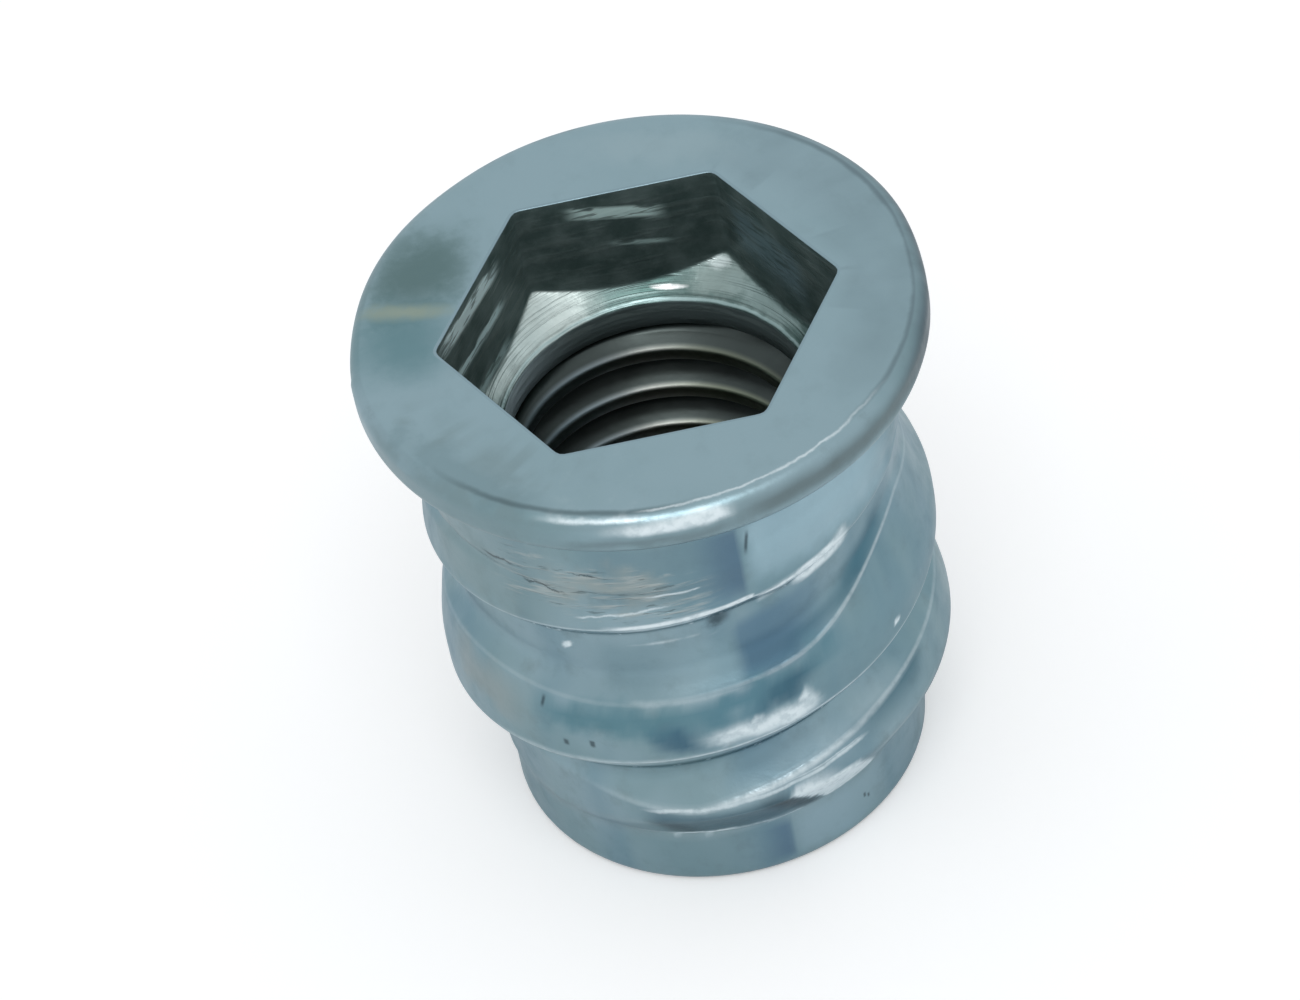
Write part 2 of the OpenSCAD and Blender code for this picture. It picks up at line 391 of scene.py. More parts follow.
# bolt thread: M8, 1.25 pitch, tapped between the mouth and the countersink
BOLT_PITCH, BOLT_MINOR_R, BOLT_MAJOR_R = 1.25, 3.325, 4.0
BOLT_TOP_CREST_Z = 9.38     # height of the topmost full crest at the back
BOLT_FRONT_CREST_Z = BOLT_TOP_CREST_Z - BOLT_PITCH / 2
MOUTH_CREST_SLOPE, MOUTH_ROOT_SLOPE = 1.6, 1.3      # how crests and roots run out in the mouth


def bolt_r(z, turn):
    rise = abs((z - BOLT_FRONT_CREST_Z - BOLT_PITCH * turn + BOLT_PITCH / 2) % BOLT_PITCH
               - BOLT_PITCH / 2)
    flank = BOLT_MINOR_R + (rise - BOLT_PITCH / 8) * math.sqrt(3)
    wall = soft_min(soft_max(flank, BOLT_MINOR_R, 0.07), BOLT_MAJOR_R, 0.1)
    wall = soft_max(wall, MOUTH_R - (MOUTH_LOW_Z - z) * MOUTH_CREST_SLOPE, 0.05)
    wall = min(wall, MOUTH_R + (MOUTH_LOW_Z - z) * MOUTH_ROOT_SLOPE)
    wall = max(wall, LOWEST_THREAD_R - (z - LOWEST_THREAD_Z))
    return min(wall, LOWEST_THREAD_R + (z - LOWEST_THREAD_Z))


def bolt_rows(turn):
    steps = (-0.625, -0.57, -0.5, -0.38, -0.26, -0.2, -0.156, -0.1, 0)
    middle = BOLT_FRONT_CREST_Z + BOLT_PITCH * turn
    return [middle + step for step in steps] + [middle - step for step in reversed(steps[:-1])]


bolt_band = wind_band(
    "bolt_band", bolt_rows, bolt_r, first_turn=-8, last_turn=1.75,
    low_z=LOWEST_THREAD_Z, high_z=MOUTH_LOW_Z)


# finishes: nodes are added by kind, with a value or a link for each named input
def add_node(tree, kind, inputs=(), **settings):
    node = tree.nodes.new(kind)
    for key, value in settings.items():
        setattr(node, key, value)
    for key, value in dict(inputs).items():
        if isinstance(value, bpy.types.NodeSocket):
            tree.links.new(value, node.inputs[key])
        else:
            node.inputs[key].default_value = value
    return node


def calc(tree, operation, a, b=0.0):
    return add_node(tree, "ShaderNodeMath", {0: a, 1: b}, operation=operation).outputs[0]


def remap(tree, value, low, high, to_low=0.0, to_high=1.0):
    return add_node(tree, "ShaderNodeMapRange", {
        "Value": value, "From Min": low, "From Max": high, "To Min": to_low, "To Max": to_high,
    }, interpolation_type="SMOOTHSTEP").outputs["Result"]


def mix_colour(tree, factor, a, b):
    node = add_node(tree, "ShaderNodeMix", data_type="RGBA")
    for index, value in ((0, factor), (6, a), (7, b)):
        if isinstance(value, bpy.types.NodeSocket):
            tree.links.new(value, node.inputs[index])
        else:
            node.inputs[index].default_value = (*value, 1) if index else value
    return node.outputs[2]


def new_group(name, inputs, outputs):
    """An empty shader group with named inputs (kind, name, default) and named outputs."""
    group = bpy.data.node_groups.new(name, "ShaderNodeTree")
    for kind, label, default in inputs:
        socket_in = group.interface.new_socket(label, in_out="INPUT", socket_type=kind)
        if default is not None:
            socket_in.default_value = default
    for label in outputs:
        group.interface.new_socket(label, in_out="OUTPUT", socket_type="NodeSocketFloat")
    given = group.nodes.new("NodeGroupInput")
    result = group.nodes.new("NodeGroupOutput")
    return group, given.outputs, result.inputs


def place_group(tree, group, inputs):
    node = tree.nodes.new("ShaderNodeGroup")
    node.node_tree = group
    for key, value in inputs.items():
        if isinstance(value, bpy.types.NodeSocket):
            tree.links.new(value, node.inputs[key])
        else:
            node.inputs[key].default_value = value
    return node.outputs


# the plate's broad clouds, its fine mottle and the grain of the casting beneath it
cast_grain, given, result = new_group(
    "cast_grain", [("NodeSocketVector", "Where", None)], ["Clouds", "Mottle", "Grain"])
for label, scale, detail in (("Clouds", 230, 3.0), ("Mottle", 1300, 5.0), ("Grain", 7000, 3.0)):
    noise_node = add_node(cast_grain, "ShaderNodeTexNoise", {
        "Vector": given["Where"], "Scale": scale, "Detail": detail, "Roughness": 0.6})
    cast_grain.links.new(noise_node.outputs["Fac"], result[label])

# a soft-edged oval mark at one place, turned about the insert's axis to lie along the surface
mark, given, result = new_group("mark", [
    ("NodeSocketVector", "Where", None), ("NodeSocketVector", "Centre", None),
    ("NodeSocketVector", "Size", None), ("NodeSocketFloat", "Bearing", 0.0),
    ("NodeSocketFloat", "Uneven", 0.0), ("NodeSocketFloat", "Softness", 0.3)], ["Mask"])
offset = add_node(mark, "ShaderNodeVectorMath", {0: given["Where"], 1: given["Centre"]},
                  operation="SUBTRACT").outputs[0]
turned = add_node(mark, "ShaderNodeVectorRotate", {
    "Vector": offset, "Angle": given["Bearing"]}, rotation_type="Z_AXIS").outputs[0]
scaled = add_node(mark, "ShaderNodeVectorMath", {0: turned, 1: given["Size"]},
                  operation="DIVIDE").outputs[0]
reach = add_node(mark, "ShaderNodeVectorMath", {0: scaled}, operation="LENGTH").outputs["Value"]
reach = calc(mark, "ADD", reach, given["Uneven"])
outside = calc(mark, "ADD", 1.0, given["Softness"])
inside = calc(mark, "SUBTRACT", 1.0, given["Softness"])
mark.links.new(remap(mark, reach, outside, inside), result["Mask"])

# where a point lies on a turned surface: its bearing in degrees, its height and radius in mm
turned_place, given, result = new_group(
    "turned_place", [("NodeSocketVector", "Where", None)], ["Bearing", "Height", "Radius"])
split = add_node(turned_place, "ShaderNodeSeparateXYZ", {0: given["Where"]}).outputs
round_it = calc(turned_place, "ARCTAN2", split["Y"], split["X"])
turned_place.links.new(calc(turned_place, "DEGREES", round_it), result["Bearing"])
turned_place.links.new(calc(turned_place, "DIVIDE", split["Z"], MM), result["Height"])
level = add_node(turned_place, "ShaderNodeVectorMath", {0: given["Where"], 1: (1, 1, 0)},
                 operation="MULTIPLY").outputs[0]
level = add_node(turned_place, "ShaderNodeVectorMath", {0: level}, operation="LENGTH")
turned_place.links.new(calc(turned_place, "DIVIDE", level.outputs["Value"], MM), result["Radius"])

# a patch between two bearings and two levels, each edge with its own softness
patch, given, result = new_group("patch", [
    ("NodeSocketFloat", "Bearing", 0.0), ("NodeSocketFloat", "Level", 0.0),
    ("NodeSocketFloat", "From", -10.0), ("NodeSocketFloat", "To", 10.0),
    ("NodeSocketFloat", "From Soft", 1.0), ("NodeSocketFloat", "To Soft", 1.0),
    ("NodeSocketFloat", "Low", 0.0), ("NodeSocketFloat", "High", 1.0),
    ("NodeSocketFloat", "Level Soft", 0.1), ("NodeSocketFloat", "Rise", 0.0),
    ("NodeSocketFloat", "Slant", 0.0), ("NodeSocketFloat", "Uneven", 0.0)], ["Mask"])
middle = calc(patch, "MULTIPLY", calc(patch, "ADD", given["From"], given["To"]), 0.5)
along = calc(patch, "SUBTRACT", given["Bearing"], middle)
level = calc(patch, "SUBTRACT", given["Level"], calc(patch, "MULTIPLY", along, given["Rise"]))
level = calc(patch, "ADD", level, given["Uneven"])
centre = calc(patch, "MULTIPLY", calc(patch, "ADD", given["Low"], given["High"]), 0.5)
slanted = calc(patch, "MULTIPLY", calc(patch, "SUBTRACT", level, centre), given["Slant"])
place = calc(patch, "ADD", given["Bearing"], slanted)
place = calc(patch, "ADD", place, calc(patch, "MULTIPLY", given["Uneven"], 8.0))
mask = None
for value, edge, soft, turn_in in (
    (place, "From", "From Soft", "SUBTRACT"), (place, "To", "To Soft", "ADD"),
    (level, "Low", "Level Soft", "SUBTRACT"), (level, "High", "Level Soft", "ADD"),
):
    turn_out = "ADD" if turn_in == "SUBTRACT" else "SUBTRACT"
    side = remap(patch, value, calc(patch, turn_in, given[edge], given[soft]),
                 calc(patch, turn_out, given[edge], given[soft]))
    mask = side if mask is None else calc(patch, "MULTIPLY", mask, side)
patch.links.new(mask, result["Mask"])

# scratches drawn round the axis, rising with the coarse thread
streaks, given, result = new_group("streaks", [
    ("NodeSocketFloat", "Bearing", 0.0), ("NodeSocketFloat", "Level", 0.0),
    ("NodeSocketFloat", "Length", 15.0), ("NodeSocketFloat", "Width", 0.15),
    ("NodeSocketFloat", "Rise", 0.0)], ["Mask"])
up = calc(streaks, "MULTIPLY", given["Bearing"], given["Rise"])
up = calc(streaks, "SUBTRACT", given["Level"], up)
flat = add_node(streaks, "ShaderNodeCombineXYZ", {
    "X": calc(streaks, "DIVIDE", given["Bearing"], given["Length"]),
    "Y": calc(streaks, "DIVIDE", up, given["Width"])}).outputs[0]
scratch = add_node(streaks, "ShaderNodeTexNoise", {
    "Vector": flat, "Scale": 1.0, "Detail": 2.0, "Roughness": 0.6}).outputs["Fac"]
streaks.links.new(remap(streaks, scratch, 0.46, 0.7), result["Mask"])


def new_material(name):
    """A material with a metal shader, and the piece's own coordinates with their heights."""
    material = bpy.data.materials.new(name)
    material.use_nodes = True
    tree = material.node_tree
    shader = tree.nodes["Principled BSDF"]
    shader.inputs["Metallic"].default_value = 1
    where = tree.nodes.new("ShaderNodeTexCoord").outputs["Object"]
    grain = place_group(tree, cast_grain, {"Where": where})
    turned = place_group(tree, turned_place, {"Where": where})
    return material, tree, shader, where, grain, turned


def finish_material(tree, shader, colour, roughness, height, distance):
    tree.links.new(colour, shader.inputs["Base Color"])
    tree.links.new(roughness, shader.inputs["Roughness"])
    bump = add_node(tree, "ShaderNodeBump", {
        "Height": height, "Strength": 1.0, "Distance": distance * MM})
    tree.links.new(bump.outputs["Normal"], shader.inputs["Normal"])


def facing_up(tree):
    normal = add_node(tree, "ShaderNodeNewGeometry").outputs["Normal"]
    return add_node(tree, "ShaderNodeSeparateXYZ", {0: normal}).outputs["Z"]


def paint(tree, colour, mask, strength, shade):
    """Lays a shade over a colour inside a mask."""
    return mix_colour(tree, calc(tree, "MULTIPLY", mask, strength), colour, shade)


def lay_patch(tree, turned, uneven, level, place):
    """The mask of one patch: from and to bearing, the softness of each, low and high level,
    their softness, rise and slant, and unevenness."""
    start, end, start_soft, end_soft, low, high, soft, rise, slant, rag = place
    return place_group(tree, patch, {
        "Bearing": turned["Bearing"], "Level": turned[level], "From": start, "To": end,
        "From Soft": start_soft, "To Soft": end_soft, "Low": low, "High": high,
        "Level Soft": soft, "Rise": rise, "Slant": slant,
        "Uneven": calc(tree, "MULTIPLY", uneven, rag)})["Mask"]


def lay_mark(tree, where, uneven, bearing, r, z, size, softness, rag):
    """The mask of one mark at a bearing, radius and height, with its size along and across."""
    a = math.radians(bearing)
    return place_group(tree, mark, {
        "Where": where, "Centre": (r * math.cos(a) * MM, r * math.sin(a) * MM, z * MM),
        "Size": (size[1] * MM, size[0] * MM, MM), "Bearing": -a, "Softness": softness,
        "Uneven": calc(tree, "MULTIPLY", uneven, rag)})["Mask"]


def lay_streaks(tree, bearing, level, length, width, rise=0.0):
    """The mask of scratches, with their length in degrees and their width in millimetres."""
    return place_group(tree, streaks, {
        "Bearing": bearing, "Level": level, "Length": length, "Width": width,
        "Rise": rise})["Mask"]


# outside: satin blue plate, with stains on the flange, scratches, nicks and pits on the body, and
# painted light and shade
plate, tree, shader, where, grain, turned = new_material("blue_zinc_plate")
# wear and painted highlights at the thread's edges, and painted shade in the corner below each
# turn, set on the mesh
wear_and_glint = add_node(tree, "ShaderNodeAttribute", attribute_name="wear_and_glint").outputs["Fac"]
corner_shade = add_node(tree, "ShaderNodeAttribute", attribute_name="corner_shade").outputs["Fac"]
uneven = remap(tree, grain["Mottle"], 0.3, 0.7, -0.5, 0.5)
colour = mix_colour(tree, remap(tree, grain["Clouds"], 0.35, 0.65),
                    (0.26, 0.385, 0.42), (0.325, 0.45, 0.50))
colour = mix_colour(tree, remap(tree, grain["Mottle"], 0.5, 0.75, 0, 0.5),
                    colour, (0.23, 0.31, 0.33))
on_top = remap(tree, turned["Height"], 14.06, 14.09)
below_flange = remap(tree, turned["Height"], 13.1, 12.5)
# painted reflections: dark streaks running down the sides below the flange
tall = add_node(tree, "ShaderNodeMapping", {"Vector": where, "Scale": (1, 1, 0.12)}).outputs[0]
reflection_streaks = add_node(tree, "ShaderNodeTexNoise", {
    "Vector": tall, "Scale": 420, "Detail": 2.5, "Roughness": 0.5}).outputs["Fac"]
reflection_streaks = calc(tree, "MULTIPLY", remap(tree, reflection_streaks, 0.42, 0.7, 0, 0.55), below_flange)
colour = mix_colour(tree, reflection_streaks, colour, (0.12, 0.25, 0.33))
colour = paint(tree, colour, on_top, 0.7, (0.34, 0.475, 0.525))
STAINS = (
    # on the top: bearing, radius, size along and across, colour, strength, softness, unevenness
    (152, 5.4, (1.35, 1.0), (0.10, 0.175, 0.17), 0.8, 0.75, 0.5),
    (174, 5.3, (1.05, 1.2), (0.13, 0.26, 0.29), 0.75, 0.8, 0.4),
    (164, 5.35, (0.22, 1.0), (0.42, 0.47, 0.36), 0.6, 0.8, 0.7),
    (-140, 6.1, (1.9, 0.5), (0.20, 0.30, 0.33), 0.5, 0.6, 0.9),
    (-32, 5.6, (1.2, 0.6), (0.27, 0.38, 0.42), 0.4, 0.6, 0.9),
    (75, 5.4, (1.5, 0.5), (0.40, 0.52, 0.56), 0.4, 0.7, 0.6),
)
for at, r, size, stain, strength, softness, rag in STAINS:
    spread = lay_mark(tree, where, uneven, at, r, TOTAL_H, size, softness, rag)
    colour = paint(tree, colour, spread, strength, stain)
# SHADES' painted reflections and shade, already weighed with their cover, over the rest of the
# plate
painted_light = add_node(tree, "ShaderNodeAttribute", attribute_name="painted_light").outputs
kept = calc(tree, "SUBTRACT", 1.0, painted_light["Alpha"])
colour = add_node(tree, "ShaderNodeVectorMath", {0: colour, "Scale": kept},
                  operation="SCALE").outputs[0]
colour = add_node(tree, "ShaderNodeVectorMath", {0: colour, 1: painted_light["Color"]},
                  operation="ADD").outputs[0]
# the scratched part of the collar, with bright scores and dark gouges
scratched = lay_patch(
    tree, turned, uneven, "Height", (-136, -88, 8, 4, 9.9, 11.3, 0.3, -0.01, 0, 0.6))
drawn = lay_streaks(tree, turned["Bearing"], turned["Height"], 12.0, 0.13, 0.011)
drawn = calc(tree, "MULTIPLY", drawn, scratched)
colour = paint(tree, colour, drawn, 0.5, (0.58, 0.60, 0.57))
beside = calc(tree, "ADD", turned["Bearing"], 50.0)
gouged = lay_streaks(tree, beside, turned["Height"], 9.0, 0.16, 0.011)
gouged = calc(tree, "MULTIPLY", remap(tree, gouged, 0.7, 1.0), scratched)
colour = paint(tree, colour, gouged, 0.5, (0.12, 0.17, 0.18))
# painted shade in the corner below each turn
colour = paint(tree, colour, corner_shade, 0.4, (0.08, 0.14, 0.17))
speckle = add_node(tree, "ShaderNodeTexNoise", {
    "Vector": where, "Scale": 4200, "Detail": 2.0, "Roughness": 0.6}).outputs["Fac"]
# painted highlights and some wear, from the table of bright places below
glint_and_rub = add_node(tree, "ShaderNodeAttribute", attribute_name="glint_and_rub").outputs["Fac"]
glint_and_rub = calc(tree, "ADD", glint_and_rub, calc(tree, "MULTIPLY", uneven, 0.06))
rub_and_glint = calc(tree, "MAXIMUM", wear_and_glint, remap(tree, glint_and_rub, 0.1, 0.85))
BRIGHT_LINES = (
    # painted highlight lines along edges, as lay_patch takes them, with heights for levels
    (-116, -98, 4, 3, 13.98, 14.05, 0.04, 0, 0, 0.05),
    (-112, -57, 4, 3, 3.5, 3.6, 0.04, 0.0135, 0, 0.06),
    (-90, -58, 3, 3, 3.76, 3.80, 0.03, 0.012, 0, 0.05),
    (-101, -89, 2, 1, 10.6, 10.66, 0.03, 0.008, 0, 0.05),
    (-118, -97, 2, 2, 10.04, 10.09, 0.03, 0.017, 0, 0.08),
)
for place in BRIGHT_LINES:
    spread = lay_patch(tree, turned, uneven, "Height", place)
    rub_and_glint = calc(tree, "MAXIMUM", rub_and_glint, calc(tree, "MULTIPLY", spread, 0.75))
# the lip where the top rounds into the rim: painted dark reflections at two places, and a painted
# highlight between them
for place, strength, shade in (
    ((-138, -90, 12, 8, 6.27, 6.42, 0.07, 0, 0, 0.05), 0.6, (0.08, 0.12, 0.13)),
    ((-45, 55, 12, 16, 6.28, 6.42, 0.06, 0, 0, 0.04), 0.5, (0.10, 0.14, 0.16)),
):
    lip_shade = lay_patch(tree, turned, uneven, "Radius", place)
    colour = paint(tree, colour, calc(tree, "MULTIPLY", lip_shade, on_top), strength, shade)
lip = lay_patch(tree, turned, uneven, "Radius", (-97, -45, 3, 12, 6.32, 6.38, 0.03, 0, 0, 0.08))
lip = calc(tree, "MULTIPLY", calc(tree, "MULTIPLY", lip, on_top), 0.7)
rub_and_glint = calc(tree, "MAXIMUM", rub_and_glint, lip)
# bright metal: painted highlights and some wear, and grains left in the corner below each turn
burrs = calc(tree, "MULTIPLY", remap(tree, speckle, 0.54, 0.66), remap(tree, corner_shade, 0.15, 0.6))
polish_and_glint = calc(tree, "MULTIPLY", rub_and_glint, remap(tree, speckle, 0.3, 0.6, 0.7, 1.0))
polish_and_glint = calc(tree, "MAXIMUM", polish_and_glint, calc(tree, "MULTIPLY", burrs, 0.6))
colour = mix_colour(tree, polish_and_glint, colour, (0.86, 0.95, 0.98))
NICKS = (
    # as lay_patch takes them, with heights for levels; the last two are at the back
    (-76.5, -75.7, 0.3, 0.3, 11.35, 11.9, 0.15, 0, -2, 0.03),
    (-88, -83.5, 1.8, 1.8, 9.12, 9.5, 0.16, 0, -4, 0.25),
    (-133, -132.2, 0.4, 0.4, 6.5, 6.8, 0.1, 0, -2, 0.03),
    (-127.8, -126.6, 0.4, 0.4, 5.55, 5.72, 0.05, 0, 0, 0.05),
    (-121, -119.8, 0.4, 0.4, 5.7, 5.9, 0.05, 0, 0, 0.05),
    (-53.6, -52.8, 0.4, 0.4, 0.86, 1.0, 0.04, 0, 0, 0.03),
    (-52.2, -51.5, 0.4, 0.4, 0.78, 0.9, 0.04, 0, 0, 0.03),
    (-142, -134, 2, 2, 10.98, 11.04, 0.03, -0.008, 0, 0.15),
    (-131, -121, 2, 2, 10.60, 10.66, 0.03, -0.01, 0, 0.2),
    (-118, -112, 2, 2, 11.16, 11.20, 0.02, -0.01, 0, 0.2),
    (59, 61, 1, 1, 8.8, 9.1, 0.1, 0, 0, 0.1),
    (149, 152, 1, 1, 5.35, 5.45, 0.05, 0, 0, 0.1),
)
nicked = 0.0
for place in NICKS:
    nicked = calc(tree, "MAXIMUM", nicked, lay_patch(tree, turned, uneven, "Height", place))
colour = paint(tree, colour, nicked, 0.7, (0.03, 0.045, 0.055))
roughness = remap(tree, grain["Mottle"], 0.3, 0.7, 0.3, 0.42)
roughness = calc(tree, "ADD", roughness, calc(tree, "MULTIPLY", rub_and_glint, 0.1))
# the painted highlights are less metallic than the real plate, so that they keep their tone
metal = remap(tree, glint_and_rub, 0.3, 1.0, 1.0, 0.55)
tree.links.new(metal, shader.inputs["Metallic"])
height = calc(tree, "MULTIPLY", grain["Mottle"], 0.9)
for relief, share in (
    (grain["Grain"], 0.15), (drawn, 0.6), (gouged, -0.8),
    (calc(tree, "MULTIPLY", speckle, wear_and_glint), 2.5),
):
    height = calc(tree, "ADD", height, calc(tree, "MULTIPLY", relief, share))
finish_material(tree, shader, colour, roughness, height, 0.02)

# socket: walls painted dark for the shade inside it and scored by the die, and a drilled cone with
# painted highlights
socket_plate, tree, shader, where, grain, turned = new_material("socket_plate")
uneven = remap(tree, grain["Mottle"], 0.3, 0.7, -0.5, 0.5)
walls = mix_colour(tree, remap(tree, grain["Mottle"], 0.35, 0.7),
                   (0.065, 0.105, 0.10), (0.13, 0.18, 0.175))
scored = lay_streaks(tree, turned["Bearing"], turned["Height"], 25.0, 0.3)
LIGHT_BANDS = (
    # bands of light on the walls, as lay_patch takes them, then colour and strength
    ((77, 104, 4, 4, 13.25, 13.6, 0.06, 0.0144, 0, 0.08), (0.72, 0.95, 0.92), 1.0),
    ((76, 92, 4, 4, 12.3, 12.42, 0.05, 0.013, 0, 0.06), (0.55, 0.75, 0.73), 0.8),
    ((136, 176, 5, 5, 13.4, 13.85, 0.07, 0.005, 0, 0.1), (0.78, 0.97, 0.98), 1.0),
    ((137, 178, 5, 5, 12.35, 12.6, 0.07, 0.003, 0, 0.1), (0.72, 0.94, 0.95), 1.0),
    ((138, 178, 5, 5, 11.15, 11.4, 0.07, 0, 0, 0.1), (0.55, 0.74, 0.74), 0.8),
    ((0, 200, 5, 5, 10.52, 10.7, 0.04, 0, 0, 0.05), (0.62, 0.78, 0.76), 0.9),
    ((20, 52, 4, 4, 11.9, 13.2, 0.4, 0.01, 0, 0.5), (0.20, 0.31, 0.36), 0.6),
)
walls = paint(tree, walls, scored, 0.15, (0.30, 0.36, 0.35))
fringe = lay_streaks(tree, turned["Bearing"], turned["Height"], 12.0, 0.13)
lit = remap(tree, fringe, 0.05, 0.6, 1.0, 0.3)
fringe = calc(tree, "SUBTRACT", fringe, 0.3)
for place, light, strength in LIGHT_BANDS:
    band = lay_patch(tree, turned, fringe, "Height", place)
    walls = paint(tree, walls, calc(tree, "MULTIPLY", band, lit), strength, light)
turning = lay_streaks(tree, turned["Bearing"], turned["Radius"], 70.0, 0.05)
cone = mix_colour(tree, remap(tree, grain["Mottle"], 0.35, 0.65),
                  (0.08, 0.14, 0.13), (0.17, 0.25, 0.24))
cone = paint(tree, cone, turning, 0.35, (0.38, 0.50, 0.49))
CONE_HIGHLIGHTS = (
    # painted highlights on the cone: bearing, radius, size along and across, colour, strength,
    # unevenness
    (120, 4.3, (1.3, 0.85), (0.72, 0.82, 0.79), 1.0, 0.3),
    (143, 3.9, (1.6, 0.4), (0.62, 0.73, 0.71), 0.95, 0.3),
    (76.5, 3.9, (0.32, 0.045), (0.95, 0.98, 0.97), 1.0, 0.7),
    (60, 4.3, (0.9, 0.5), (0.40, 0.50, 0.48), 0.75, 0.9),
    (62, 4.45, (0.3, 0.12), (0.75, 0.85, 0.84), 0.8, 0.9),
    (38, 3.95, (1.0, 0.3), (0.36, 0.47, 0.46), 0.7, 0.9),
)
for at, r, size, light, strength, rag in CONE_HIGHLIGHTS:
    spread = lay_mark(tree, where, uneven, at, r, 11.0, size, 0.5, rag)
    cone = paint(tree, cone, spread, strength, light)
# rings that the drill left round the mouth: from and to radius, colour, strength
for low, high, ring, strength in (
    (3.73, 3.77, (0.06, 0.09, 0.09), 0.35), (3.64, 3.70, (0.45, 0.60, 0.60), 0.7),
    (3.60, 3.63, (0.08, 0.12, 0.12), 0.5),
):
    line = lay_patch(tree, turned, uneven, "Radius", (0, 200, 5, 5, low, high, 0.015, 0, 0, 0.03))
    cone = paint(tree, cone, line, strength, ring)
low = remap(tree, turned["Height"], 12.4, 11.8)
up = calc(tree, "MULTIPLY", remap(tree, facing_up(tree), 0.35, 0.7), low)
# the bore's mouth: painted light on its left side, going over to painted shade on its right
in_mouth = remap(tree, turned["Radius"], 3.63, 3.61)
mouth = mix_colour(tree, remap(tree, turned["Bearing"], 155, 110),
                   (0.55, 0.68, 0.74), (0.13, 0.17, 0.175))
walls = paint(tree, walls, in_mouth, 0.85, mouth)
colour = mix_colour(tree, up, walls, cone)
on_top = remap(tree, turned["Height"], 14.07, 14.09)
colour = mix_colour(tree, on_top, colour, (0.30, 0.42, 0.47))
roughness = remap(tree, grain["Mottle"], 0.3, 0.7, 0.28, 0.42)
height = calc(tree, "ADD", grain["Mottle"], calc(tree, "MULTIPLY", scored, 0.5))
height = calc(tree, "ADD", height, calc(tree, "MULTIPLY", calc(tree, "MULTIPLY", turning, up), 0.3))
# the walls are less metallic than the real ones, so that their bands of light keep their tone
metal = remap(tree, calc(tree, "MAXIMUM", up, on_top), 0, 1, 0.4, 1)
tree.links.new(metal, shader.inputs["Metallic"])
finish_material(tree, shader, colour, roughness, height, 0.02)

# bolt thread: painted shade in the roots and painted highlights towards the crests, cool on the
# left, warm on the right and dark at the topmost turn
tapped_thread, tree, shader, where, grain, turned = new_material("tapped_thread")
crest = remap(tree, turned["Radius"], 3.5, 3.33)
to_right = remap(tree, turned["Bearing"], 135, 45)
lit_crest = mix_colour(tree, remap(tree, to_right, 0, 0.5), (0.34, 0.42, 0.46), (0.29, 0.30, 0.28))
lit_crest = mix_colour(tree, remap(tree, to_right, 0.5, 1), lit_crest, (0.26, 0.29, 0.22))
lit_crest = mix_colour(tree, remap(tree, turned["Height"], 8.6, 9.1, 0, 0.3), lit_crest, (0.05, 0.06, 0.06))
colour = mix_colour(tree, crest, (0.07, 0.085, 0.082), lit_crest)
roughness = remap(tree, grain["Mottle"], 0.3, 0.7, 0.28, 0.36)
finish_material(tree, shader, colour, roughness, grain["Grain"], 0.002)

# the five meshes meet ring to ring, and are welded into one closed piece
WELD = 2e-6                 # metres
deselect_all()
for part, material in (
    (thread_band, plate), (pilot, plate), (collar, plate), (socket, socket_plate),
    (bolt_band, tapped_thread),
):
    part.data.materials.append(material)
    part.select_set(True)
bpy.context.view_layer.objects.active = thread_band
bpy.ops.object.join()
insert = bpy.context.object
insert.name = "threaded_insert"
insert.data.name = "threaded_insert"
bpy.ops.object.mode_set(mode="EDIT")
bpy.ops.mesh.select_all(action="SELECT")
bpy.ops.mesh.remove_doubles(threshold=WELD)
bpy.ops.mesh.delete_loose()
bpy.ops.mesh.select_all(action="SELECT")
bpy.ops.mesh.normals_make_consistent(inside=False)
bpy.ops.object.mode_set(mode="OBJECT")
bpy.ops.object.shade_smooth()
